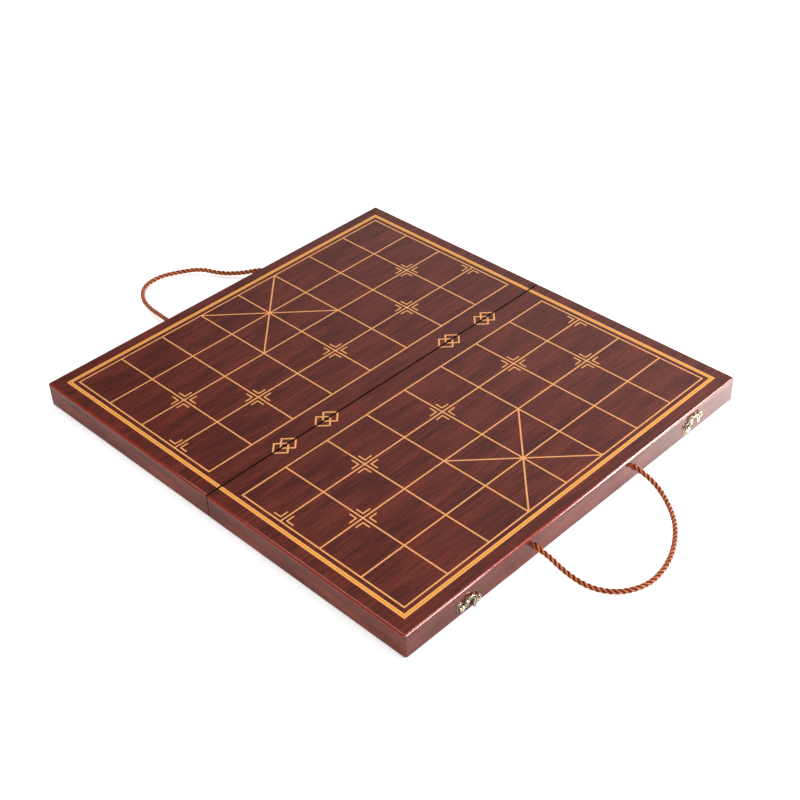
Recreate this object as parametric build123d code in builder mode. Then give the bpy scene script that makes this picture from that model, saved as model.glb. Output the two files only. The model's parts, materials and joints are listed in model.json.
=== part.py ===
"""Folding xiangqi box, lying open with its playing surface up.

Two shallow trays stand rim down, back to back along the river, and fold under each other about the hinges.
Origin: under the middle of the hinge line, on the surface that the box stands on.
X runs along the river, +Y points to the far half, +Z up. Millimetres.
"""

import os
from math import atan2, cos, degrees, hypot, pi, radians, sin, sqrt, tan

from build123d import *

# Playing surface
file_pitch = 50.0  # between two files
rank_pitch = 49.0  # between two ranks
river_width = 46.0  # between the two banks
file_count = 9
rank_count = 5  # ranks on each half
side_margin = 22.0  # outermost file to the side of the case
end_margin = 22.0  # back rank to the outer face of the case
line_width = 1.5
groove_depth = 0.4  # of every inlay
mark_width = 1.4
mark_gap = 4.0  # from a grid line to the middle of a position mark's arm
mark_reach = 12.3  # from a grid line to the tip of a position mark's arm
band_width = 4.0
band_offset = 6.75  # outermost grid line to the middle of the border band
ornament_places = (-131.0, -79.0, 86.0, 138.0)  # along the river
lozenge_reach = 10.5  # middle of a lozenge to its corners
lozenge_shift = 4.6  # ornament's centre to the middle of each of its lozenges
lozenge_stroke = 1.7

# Case
side_height = 25.0  # hinge plane to playing surface
panel_thickness = 5.0
rail_thickness = 12.0
lining_thickness = 1.0
lining_clearance = 0.5
seam_gap = 1.0  # between the two halves
rim_gap = 0.3  # between the two rims when the box is closed
top_round = 2.0  # outer edges of the playing surface
corner_round_extra = 0.5  # how much rounder the upright corners are
seam_ease = 0.6  # edges along the seam

# Hinges
knuckle_radius = 1.5
pin_radius = 0.8
pin_clearance = 0.05
hinge_spacing = 280.0
hinge_length = 32.0
knuckle_count = 5
knuckle_gap = 0.2  # between two knuckles
leaf_reach = 9.0  # hinge axis to the edge of a leaf
leaf_thickness = 1.0
leaf_clearance = 0.4  # between a leaf or the wood and the other leaf's knuckles
mortise_clearance = 0.1
hinge_screw_count = 2
hinge_screw_spacing = 19.0
screw_radius = 1.0
screw_length = 9.0
screw_head_radius = 1.8
screw_head_height = 0.8
screw_play = 0.1  # round a screw in the leaf

# Hooks and catches
latch_spacing = 305.0
latch_shift = -6.5  # the middle of the two pivots, off the middle of the case
pivot_height = 9.0  # hinge plane to the pivot of a hook
catch_height = 3.7  # hinge plane to the peg that the hook catches
hook_rest_angles = {"left": 0.0, "right": 27.0}  # from level, anticlockwise
latch_plate_radius = 4.4
catch_plate_radius = 3.2
latch_plate_lean = 20.0  # off upright, with the top towards the end of the case
plate_length = 13.0
plate_end_width = 4.8
plate_thickness = 0.8
nail_spacing = 8.8
nail_radius = 0.6
nail_length = 7.0
nail_head_radius = 1.2
nail_head_height = 0.5
nail_head_taper = 40.0
shoulder_radius = 2.4
shoulder_height = 0.7  # lifts the hook off its plate
rivet_radius = 1.2
rivet_clearance = 0.05
rivet_head_radius = 2.3
rivet_head_height = 0.9
rivet_depth = 7.0  # into the wood
peg_radius = 1.5
peg_head_radius = 2.6
hook_thickness = 1.4
hook_play = 0.1  # on each side of the hook
hub_radius = 2.9
mouth_clearance = 0.5  # round the peg
arch_width = 2.2
neck_radius = 1.9  # half the neck's width where it meets the arch
lip_angle = 30.0  # how far the lip reaches round the peg
tail_radius = 2.6
tail_width = 1.6
tail_drop = 1.6  # middle of the tail's curl, below the line from the pivot to the peg
tail_start = 175.0  # where the curl leaves the lip, anticlockwise from the hook's length
tail_sweep = 255.0
bead_radius = 1.1

# Cord handles
cord_radius = 2.5
cord_hole_clearance = 0.5
cord_spacing = 136.0
cord_height = 12.5  # hinge plane to the middle of a cord hole
knot_radius = 5.4
knot_turn = 3.4  # width of one turn of the knot
knot_turns = 3
knot_dent = 1.1  # between two turns
knot_tail = 5.0
# Each loop, from the left hole to the right: along X, out from the face, up from the hinge plane.
front_loop = [
    (-68.0, 11.0, 12.5),
    (-68.6, 32.5, 4.8),
    (-68.0, 56.0, 2.7),
    (-58.0, 81.0, 2.7),
    (-36.0, 94.0, 2.7),
    (-10.0, 92.0, 2.7),
    (14.0, 84.0, 2.7),
    (36.0, 70.0, 2.7),
    (54.0, 51.0, 2.7),
    (68.5, 28.0, 3.4),
    (68.0, 8.5, 12.5),
]
back_loop = [
    (-68.0, 9.0, 12.5),
    (-64.5, 32.0, 9.5),
    (-59.5, 53.0, 3.6),
    (-54.0, 76.0, 2.7),
    (-38.0, 96.0, 2.7),
    (-14.0, 99.0, 2.7),
    (8.0, 89.0, 2.7),
    (24.0, 73.0, 5.4),
    (35.0, 52.0, 3.0),
    (50.0, 33.0, 4.6),
    (68.0, 9.0, 12.5),
]
arc_share = 0.45  # of the shorter run, taken by the arc at a corner of a loop

# Worked out from the above
grid_width = (file_count - 1) * file_pitch
grid_depth = (rank_count - 1) * rank_pitch
case_width = grid_width + 2 * side_margin
half_depth = river_width / 2 + grid_depth + end_margin
seam_face = seam_gap / 2
hinge_plane = knuckle_radius
rim_z = hinge_plane + rim_gap / 2
top_z = hinge_plane + side_height
panel_z = top_z - panel_thickness
rail_height = panel_z - rim_z
corner_round = top_round + corner_round_extra
knuckle_length = hinge_length / knuckle_count - knuckle_gap
leaf_start = knuckle_radius + leaf_clearance
mouth_radius = peg_radius + mouth_clearance
hook_reach = pivot_height + catch_height
hook_back = plate_thickness + shoulder_height + hook_play
hook_front = hook_back + hook_thickness
ends = {"left": -1, "right": 1}
halves = {"near": -1, "far": 1}  # which way each half lies from the seam
fitting_height = {"near": pivot_height, "far": catch_height}

os.makedirs("parts", exist_ok=True)


def save(piece, node):
    piece.part.label = node
    export_step(piece.part, f"parts/{node}.step")


# ---------------------------------------------------------------- inlays


def rank_y(side, ranks_from_bank):
    return side * (river_width / 2 + ranks_from_bank * rank_pitch)


def grid_lines(side):
    """Files, ranks and the palace's two diagonals."""
    palace_files, palace_ranks = 2, 2
    palace_middle = rank_count - 1 - palace_ranks / 2
    diagonal = hypot(palace_files * file_pitch, palace_ranks * rank_pitch)
    slope = degrees(atan2(rank_pitch, file_pitch))
    with BuildSketch() as lines:
        with Locations((0, rank_y(side, (rank_count - 1) / 2))):
            with GridLocations(file_pitch, 0, file_count, 1):
                Rectangle(line_width, grid_depth + line_width)
            with GridLocations(0, rank_pitch, 1, rank_count):
                Rectangle(grid_width + line_width, line_width)
        with Locations((0, rank_y(side, palace_middle))):
            Rectangle(diagonal, line_width, rotation=slope)
            Rectangle(diagonal, line_width, rotation=-slope)
    return lines.sketch


def point_marks(side):
    """Angle marks round the cannon and soldier points, only inwards at the outermost files."""
    outer_file = (file_count - 1) // 2
    cannon_row, soldier_row = 2, 1  # ranks from the river bank
    points = [(file, cannon_row) for file in (1 - outer_file, outer_file - 1)]
    points += [(file, soldier_row) for file in range(-outer_file, outer_file + 1, 2)]
    arm = mark_reach - mark_gap + mark_width / 2
    arm_middle = mark_reach - arm / 2
    with BuildSketch() as marks:
        for file, row in points:
            for right in (-1, 1):
                if abs(file + right) > outer_file:
                    continue
                for up in (-1, 1):
                    x, y = file * file_pitch, rank_y(side, row)
                    with Locations((x + right * arm_middle, y + up * mark_gap)):
                        Rectangle(arm, mark_width)
                    with Locations((x + right * mark_gap, y + up * arm_middle)):
                        Rectangle(mark_width, arm)
    return marks.sketch


def inlay_region(side):
    """The half of the playing surface that inlays may cover, up to the eased seam edge."""
    start = seam_face + seam_ease
    with BuildSketch() as region:
        with Locations((0, side * (start + half_depth) / 2)):
            Rectangle(case_width, half_depth - start)
    return region.sketch


def border_band(side):
    """One wide frame round both grids, cut by the seam."""
    width = grid_width + 2 * band_offset
    depth = 2 * (river_width / 2 + grid_depth + band_offset)
    with BuildSketch() as band:
        Rectangle(width + band_width, depth + band_width)
        Rectangle(width - band_width, depth - band_width, mode=Mode.SUBTRACT)
        add(inlay_region(side), mode=Mode.INTERSECT)
    return band.sketch


def river_ornaments(side):
    """Pairs of interlocked lozenges on the seam, half of each on either side."""
    with BuildSketch() as lozenge:
        RegularPolygon(lozenge_reach, 4)
        RegularPolygon(lozenge_reach - lozenge_stroke * sqrt(2), 4, mode=Mode.SUBTRACT)
    with BuildSketch() as ornaments:
        for x in ornament_places:
            with Locations((x - lozenge_shift, 0), (x + lozenge_shift, 0)):
                add(lozenge.sketch)
        add(inlay_region(side), mode=Mode.INTERSECT)
    return ornaments.sketch


inlays = {
    "grid_lines": grid_lines,
    "point_marks": point_marks,
    "border_band": border_band,
    "river_ornaments": river_ornaments,
}

for half, side in halves.items():
    for name, pattern in inlays.items():
        with BuildPart() as inlay:
            with BuildSketch(Plane.XY.offset(top_z - groove_depth)):
                add(pattern(side))
            extrude(amount=groove_depth)
        save(inlay, f"{half}_{name}")

# ---------------------------------------------------------------- case


def make_panel(side):
    """Top board of one half, its outer edges rounded, its seam edges eased, grooved for the inlays."""
    with BuildPart() as panel:
        with BuildSketch(Plane.XY.offset(panel_z)):
            with Locations((0, side * (half_depth + seam_face) / 2)):
                Rectangle(case_width, half_depth - seam_face)
            outer_corners = vertices().group_by(Axis.Y)[-1 if side > 0 else 0]
            fillet(outer_corners, corner_round)
        extrude(amount=panel_thickness)
        top_edges = edges().group_by(Axis.Z)[-1]
        seam_edge = top_edges.sort_by(Axis.Y)[0 if side > 0 else -1]
        fillet([edge for edge in top_edges if edge != seam_edge], top_round)
        seam_side = faces().sort_by(Axis.Y)[0 if side > 0 else -1]
        bottom_edge = seam_side.edges().sort_by(Axis.Z)[0]
        fillet([edge for edge in seam_side.edges() if edge != bottom_edge], seam_ease)
        with BuildSketch(Plane.XY.offset(top_z)):
            for pattern in inlays.values():
                add(pattern(side))
        extrude(amount=-groove_depth, mode=Mode.SUBTRACT)
    return panel


def rail_profile(side, where):
    """Plan of one rail of the frame under a panel, mitred at both ends."""
    left, right = -case_width / 2, case_width / 2
    inner, outer = side * seam_face, side * half_depth
    step = side * rail_thickness
    corners = {
        "hinge": [(left, inner), (right, inner)],
        "outer": [(left, outer), (right, outer)],
        "left": [(left, inner), (left, outer)],
        "right": [(right, inner), (right, outer)],
    }
    inside = {
        (left, inner): (left + rail_thickness, inner + step),
        (right, inner): (right - rail_thickness, inner + step),
        (left, outer): (left + rail_thickness, outer - step),
        (right, outer): (right - rail_thickness, outer - step),
    }
    start, end = corners[where]
    with BuildSketch() as profile:
        with Locations((0, (inner + outer) / 2)):
            Rectangle(case_width, half_depth - seam_face)
        fillet(vertices().group_by(Axis.Y)[-1 if side > 0 else 0], corner_round)
        fillet(vertices().group_by(Axis.Y)[0 if side > 0 else -1], seam_ease)
        with BuildLine():
            Polyline(start, end, inside[end], inside[start], close=True)
        make_face(mode=Mode.INTERSECT)
    return profile.sketch


def outer_face(x, height, side):
    """Plane on a half's outer face, looking out of it, with its own Y up."""
    place = (x, side * half_depth, hinge_plane + height)
    return Plane(origin=place, x_dir=(-side, 0, 0), z_dir=(0, side, 0))


def turned_plane(plane, angle):
    """The same plane with its X turned anticlockwise about its normal."""
    x_dir = plane.x_dir * cos(radians(angle)) + plane.y_dir * sin(radians(angle))
    return Plane(origin=plane.origin, x_dir=x_dir, z_dir=plane.z_dir)


def latch_x(end):
    return latch_shift + ends[end] * latch_spacing / 2


def plate_turn(half, end):
    """Latch plates stand nearly upright, and catch plates lie along the rim."""
    return 90 - ends[end] * latch_plate_lean if half == "near" else 0


for half, side in halves.items():
    panel = make_panel(side)
    save(panel, f"{half}_panel")

    for where in ("left", "right"):
        with BuildPart() as rail:
            with BuildSketch(Plane.XY.offset(rim_z)):
                add(rail_profile(side, where))
            extrude(amount=rail_height)
        save(rail, f"{half}_{where}_rail")

    with BuildPart() as rail:
        with BuildSketch(Plane.XY.offset(rim_z)):
            add(rail_profile(side, "outer"))
        extrude(amount=rail_height)
        with BuildSketch(outer_face(0, cord_height, side)):
            with GridLocations(cord_spacing, 0, 2, 1):
                Circle(cord_radius + cord_hole_clearance)
        extrude(amount=-rail_thickness, mode=Mode.SUBTRACT)
        for end in ends:
            fitting = outer_face(latch_x(end), fitting_height[half], side)
            with BuildSketch(fitting):
                Circle(rivet_radius)
            extrude(amount=-rivet_depth, mode=Mode.SUBTRACT)
            with BuildSketch(fitting):
                with PolarLocations(nail_spacing / 2, 2, start_angle=plate_turn(half, end)):
                    Circle(nail_radius)
            extrude(amount=-nail_length, mode=Mode.SUBTRACT)
    save(rail, f"{half}_outer_rail")

    # The hinge rail is cut for the barrels, the leaves and the screws.
    leaf_middle = side * (leaf_start + leaf_reach) / 2
    with BuildPart() as rail:
        with BuildSketch(Plane.XY.offset(rim_z)):
            add(rail_profile(side, "hinge"))
        extrude(amount=rail_height)
        mortise_length = hinge_length + 2 * mortise_clearance
        mortise_reach = leaf_reach + mortise_clearance
        with BuildSketch(Plane.XY.offset(rim_z)):
            with Locations((0, side * mortise_reach / 2)):
                with GridLocations(hinge_spacing, 0, 2, 1):
                    Rectangle(mortise_length, mortise_reach)
        extrude(amount=leaf_thickness, mode=Mode.SUBTRACT)
        for end in ends.values():
            with BuildSketch(Plane.YZ.offset(end * hinge_spacing / 2)):
                with Locations((0, hinge_plane)):
                    Circle(knuckle_radius + leaf_clearance)
            extrude(amount=mortise_length / 2, both=True, mode=Mode.SUBTRACT)
        with BuildSketch(Plane.XY.offset(rim_z)):
            with Locations((0, leaf_middle)):
                with GridLocations(hinge_spacing, 0, 2, 1):
                    with GridLocations(hinge_screw_spacing, 0, hinge_screw_count, 1):
                        Circle(screw_radius)
        extrude(amount=screw_length, mode=Mode.SUBTRACT)
    save(rail, f"{half}_hinge_rail")

    with BuildPart() as lining:
        inner, outer = seam_face + rail_thickness, half_depth - rail_thickness
        with BuildSketch(Plane.XY.offset(panel_z - lining_thickness)):
            with Locations((0, side * (inner + outer) / 2)):
                width = case_width - 2 * rail_thickness
                Rectangle(width - 2 * lining_clearance, outer - inner - 2 * lining_clearance)
        extrude(amount=lining_thickness)
    save(lining, f"{half}_lining")

# ---------------------------------------------------------------- hinges


def hinge_leaf(x, side, own_knuckles, bore):
    """A leaf let into the rim, with its share of the knuckles."""
    first = x - hinge_length / 2 + hinge_length / knuckle_count / 2
    with BuildPart() as leaf:
        with BuildSketch(Plane.XY.offset(rim_z)):
            with Locations((x, side * (leaf_start + leaf_reach) / 2)):
                Rectangle(hinge_length, leaf_reach - leaf_start)
            for k in own_knuckles:
                with Locations((first + k * hinge_length / knuckle_count, side * leaf_start / 2)):
                    Rectangle(knuckle_length, leaf_start)
        extrude(amount=leaf_thickness)
        for k in own_knuckles:
            with BuildSketch(Plane.YZ.offset(first + k * hinge_length / knuckle_count)):
                with Locations((0, hinge_plane)):
                    Circle(knuckle_radius)
            extrude(amount=knuckle_length / 2, both=True)
        with BuildSketch(Plane.YZ.offset(x)):
            with Locations((0, hinge_plane)):
                Circle(bore)
        extrude(amount=hinge_length / 2, both=True, mode=Mode.SUBTRACT)
        # Screw holes, open to the head's width at the rim face
        with Locations((x, side * (leaf_start + leaf_reach) / 2, rim_z)):
            with GridLocations(hinge_screw_spacing, 0, hinge_screw_count, 1):
                Cylinder(
                    screw_radius + screw_play,
                    leaf_thickness,
                    align=(Align.CENTER, Align.CENTER, Align.MIN),
                    mode=Mode.SUBTRACT,
                )
                Cone(
                    screw_head_radius + screw_play,
                    screw_radius + screw_play,
                    screw_head_height,
                    align=(Align.CENTER, Align.CENTER, Align.MIN),
                    mode=Mode.SUBTRACT,
                )
    return leaf


for end, sign in ends.items():
    x = sign * hinge_spacing / 2
    near_leaf = hinge_leaf(x, -1, range(0, knuckle_count, 2), pin_radius)
    save(near_leaf, f"{end}_hinge_near_leaf")
    far_leaf = hinge_leaf(x, 1, range(1, knuckle_count, 2), pin_radius + pin_clearance)
    save(far_leaf, f"{end}_hinge_far_leaf")
    with BuildPart() as pin:
        with BuildSketch(Plane.YZ.offset(x)):
            with Locations((0, hinge_plane)):
                Circle(pin_radius)
        extrude(amount=(hinge_length - knuckle_gap) / 2, both=True)
    save(pin, f"{end}_hinge_pin")

for half, side in halves.items():
    with BuildPart() as screws:
        with Locations((0, side * (leaf_start + leaf_reach) / 2, rim_z)):
            with GridLocations(hinge_spacing, 0, 2, 1):
                with GridLocations(hinge_screw_spacing, 0, hinge_screw_count, 1):
                    Cylinder(
                        screw_radius,
                        screw_length,
                        align=(Align.CENTER, Align.CENTER, Align.MIN),
                    )
                    Cone(
                        screw_head_radius,
                        screw_radius,
                        screw_head_height,
                        align=(Align.CENTER, Align.CENTER, Align.MIN),
                    )
    save(screws, f"{half}_hinge_screws")

# ---------------------------------------------------------------- hooks and catches


def base_plate(plane, lobe_radius, turn):
    """Lobed cast plate, bored for its rivet or peg and two nails."""
    with BuildPart() as plate:
        with BuildSketch(plane):
            SlotOverall(plate_length, plate_end_width, rotation=turn)
            Circle(lobe_radius)
            Circle(rivet_radius, mode=Mode.SUBTRACT)
            with PolarLocations(nail_spacing / 2, 2, start_angle=turn):
                Circle(nail_radius, mode=Mode.SUBTRACT)
        extrude(amount=plate_thickness)
    return plate


def turned(plane, profile, dome_width, dome_height):
    """A pin turned about the plane's normal: (radius, height) corners, closed by a domed head."""
    axis_plane = Plane(origin=plane.origin, x_dir=plane.x_dir, z_dir=-plane.y_dir)
    top = profile[-1][1] + dome_height
    with BuildPart() as pin:
        with BuildSketch(axis_plane):
            with BuildLine():
                Polyline((0, top), (0, profile[0][1]), *profile)
                RadiusArc(profile[-1], (0, top), -(dome_width**2 + dome_height**2) / (2 * dome_height))
            make_face()
        revolve(axis=Axis(plane.origin, plane.z_dir))
    return pin


def make_hook(plane):
    """Flat cast hook: hub and neck, arch over the mouth, lip, and a tail that curls back as a finger grip."""
    arch_radius = mouth_radius + arch_width
    mouth = CenterArc((0, 0), hook_reach, 0, -2 * lip_angle)
    lip = CenterArc((0, 0), hook_reach + mouth_radius + arch_width / 2, 0, -lip_angle)
    tail_centre = (hook_reach + arch_radius + tail_radius - tail_width / 4, -tail_drop)
    tail = CenterArc(tail_centre, tail_radius, tail_start, tail_sweep)
    with BuildPart() as hook:
        with BuildSketch(plane.offset(hook_back)) as outline:
            Circle(hub_radius)
            with Locations((hook_reach - arch_radius, 0)):
                Circle(neck_radius)
            make_hull()
            with Locations((hook_reach, 0)):
                Circle(arch_radius)
            SlotArc(lip, arch_width)
            SlotArc(tail, tail_width)
            with Locations(tail @ 1):
                Circle(bead_radius)
            SlotArc(mouth, 2 * mouth_radius, mode=Mode.SUBTRACT)
            Circle(rivet_radius + rivet_clearance, mode=Mode.SUBTRACT)
        extrude(amount=hook_thickness)
    return hook


for end in ends:
    pivot = outer_face(latch_x(end), pivot_height, halves["near"])
    plate = base_plate(pivot, latch_plate_radius, plate_turn("near", end))
    save(plate, f"{end}_latch_plate")
    shoulder_top = plate_thickness + shoulder_height
    head_back = hook_front + hook_play
    rivet = turned(
        pivot,
        [
            (rivet_radius, -rivet_depth),
            (rivet_radius, plate_thickness),
            (shoulder_radius, plate_thickness),
            (shoulder_radius, shoulder_top),
            (rivet_radius, shoulder_top),
            (rivet_radius, head_back),
            (rivet_head_radius, head_back),
        ],
        rivet_head_radius,
        rivet_head_height,
    )
    save(rivet, f"{end}_latch_rivet")
    hook = make_hook(turned_plane(pivot, hook_rest_angles[end]))
    save(hook, f"{end}_hook")

    catch = outer_face(latch_x(end), catch_height, halves["far"])
    plate = base_plate(catch, catch_plate_radius, plate_turn("far", end))
    save(plate, f"{end}_catch_plate")
    peg = turned(
        catch,
        [
            (rivet_radius, -rivet_depth),
            (rivet_radius, plate_thickness),
            (peg_radius, plate_thickness),
            (peg_radius, head_back),
            (peg_head_radius, head_back),
        ],
        peg_head_radius,
        rivet_head_height,
    )
    save(peg, f"{end}_catch_peg")

for node, half in (("latch_nails", "near"), ("catch_nails", "far")):
    with BuildPart() as nails:
        for end in ends:
            face_plane = outer_face(latch_x(end), fitting_height[half], halves[half])
            with BuildSketch(face_plane.offset(-nail_length)):
                with PolarLocations(nail_spacing / 2, 2, start_angle=plate_turn(half, end)):
                    Circle(nail_radius)
            extrude(amount=nail_length + plate_thickness)
            with BuildSketch(face_plane.offset(plate_thickness)):
                with PolarLocations(nail_spacing / 2, 2, start_angle=plate_turn(half, end)):
                    Circle(nail_head_radius)
            extrude(amount=nail_head_height, taper=nail_head_taper)
    save(nails, node)

# ---------------------------------------------------------------- cord handles

for node, half, loop in (
    ("front_cord", "near", front_loop),
    ("back_cord", "far", back_loop),
):
    side = halves[half]
    inside = -rail_thickness
    ends_inside = [(sign * cord_spacing / 2, inside, cord_height) for sign in (-1, 1)]
    points = [
        Vector(x, side * (half_depth + out), hinge_plane + up)
        for x, out, up in [ends_inside[0], *loop, ends_inside[1]]
    ]
    runs = [after - before for before, after in zip(points, points[1:])]
    radii = []
    for run, next_run in zip(runs, runs[1:]):
        shorter = min(run.length, next_run.length)
        radii.append(arc_share * shorter / tan(radians(run.get_angle(next_run)) / 2))
    with BuildPart() as cord:
        with BuildLine() as route:
            FilletPolyline(*points, radius=radii)
        with BuildSketch(Plane(origin=route.line @ 0, z_dir=route.line % 0)):
            Circle(cord_radius)
        sweep()
    cord_length = route.wires()[0].length
    share = cord.part.volume / (pi * cord_radius**2 * cord_length)
    print(f"{node}: {cord_length:.0f} mm long, volume {share:.4f} of section times length")
    print(f"{node}: radii {[round(radius) for radius in radii]}")
    print(f"{node}: runs {[round(run.length, 1) for run in runs]}")
    save(cord, node)

    # Each knot bears on the inside of the outer rail, with the cord's end beyond it.
    with BuildPart() as knots:
        for sign in (-1, 1):
            start = (sign * cord_spacing / 2, side * (half_depth + inside), hinge_plane + cord_height)
            with BuildSketch(Plane(origin=start, x_dir=(1, 0, 0), z_dir=(0, 0, 1))):
                with BuildLine():
                    waist = knot_radius - knot_dent
                    knot_end = -side * knot_turns * knot_turn
                    tail_end = knot_end - side * knot_tail
                    turns = [(waist, 0)]
                    for k in range(knot_turns):
                        turns.append((knot_radius, -side * (k + 0.5) * knot_turn))
                        turns.append((waist, -side * (k + 1) * knot_turn))
                    Polyline(
                        (0, 0),
                        *turns,
                        (cord_radius, knot_end),
                        (cord_radius, tail_end),
                        (0, tail_end),
                        close=True,
                    )
                make_face()
            revolve(axis=Axis(start, (0, 1, 0)))
    save(knots, f"{node}_knots")
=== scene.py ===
"""The looks of a folding xiangqi box: lacquered rosewood, gilded lines, bronze hooks and cord handles.

Metres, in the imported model's frame: X along the river, +Y to the far half, +Z out of the playing surface.
"""

import json
from math import cos, pi, radians, sin

import bmesh
import bpy
from mathutils import Matrix, Vector


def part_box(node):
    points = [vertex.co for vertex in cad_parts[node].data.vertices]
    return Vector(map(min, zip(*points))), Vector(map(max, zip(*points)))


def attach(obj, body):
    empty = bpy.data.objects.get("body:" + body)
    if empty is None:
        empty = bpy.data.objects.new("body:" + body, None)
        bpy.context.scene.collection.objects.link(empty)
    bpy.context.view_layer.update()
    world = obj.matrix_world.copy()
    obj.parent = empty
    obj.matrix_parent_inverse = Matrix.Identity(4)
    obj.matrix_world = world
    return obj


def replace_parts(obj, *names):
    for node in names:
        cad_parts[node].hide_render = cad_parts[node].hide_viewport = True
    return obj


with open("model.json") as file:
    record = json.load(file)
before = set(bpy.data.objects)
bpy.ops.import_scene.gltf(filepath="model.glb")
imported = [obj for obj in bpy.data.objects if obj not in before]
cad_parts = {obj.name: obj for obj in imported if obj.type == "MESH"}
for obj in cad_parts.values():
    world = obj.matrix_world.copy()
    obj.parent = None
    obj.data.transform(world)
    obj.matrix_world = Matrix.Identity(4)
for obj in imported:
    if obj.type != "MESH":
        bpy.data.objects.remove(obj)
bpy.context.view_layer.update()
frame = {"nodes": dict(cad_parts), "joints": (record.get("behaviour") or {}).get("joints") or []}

MM = 0.001

# Sizes read from the frame
pin_radius = 0.8 * MM
panel_low, panel_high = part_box("near_panel")
half_width = panel_high.x
half_depth = -panel_low.y
top_z = panel_high.z
rim_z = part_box("near_outer_rail")[0].z
band_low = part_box("near_border_band")[0]
hinge_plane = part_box("left_hinge_pin")[0].z + pin_radius

# ---------------------------------------------------------------- materials


def linear(hex_colour):
    """An sRGB hex colour as a linear RGBA."""
    channels = [int(hex_colour[i : i + 2], 16) / 255 for i in (1, 3, 5)]
    return [c / 12.92 if c <= 0.04045 else ((c + 0.055) / 1.055) ** 2.4 for c in channels] + [1.0]


def add(tree, kind, inputs=None, stops=(), **settings):
    """Adds a node. An input is a value, a socket or a node, for its first output; stops fill a ramp."""
    node = tree.nodes.new("ShaderNode" + kind)
    for name, value in settings.items():
        setattr(node, name, value)
    for socket, value in (inputs or {}).items():
        if isinstance(value, bpy.types.Node):
            value = next(output for output in value.outputs if output.enabled)
        if isinstance(value, bpy.types.NodeSocket):
            tree.links.new(value, node.inputs[socket])
        else:
            node.inputs[socket].default_value = value
    if stops:
        elements = node.color_ramp.elements
        elements.remove(elements[0])
        elements[0].position, elements[0].color = stops[0][0], linear(stops[0][1])
        for position, colour in stops[1:]:
            elements.new(position).color = linear(colour)
    return node


def grains(x, y, z):
    """The scale at which a pattern repeats after these lengths, in millimetres."""
    return [1 / (MM * length) for length in (x, y, z)]


def new_material(name):
    """A material without nodes, and its node tree."""
    material = bpy.data.materials.new(name)
    material.use_nodes = True
    material.node_tree.nodes.clear()
    return material, material.node_tree


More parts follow.
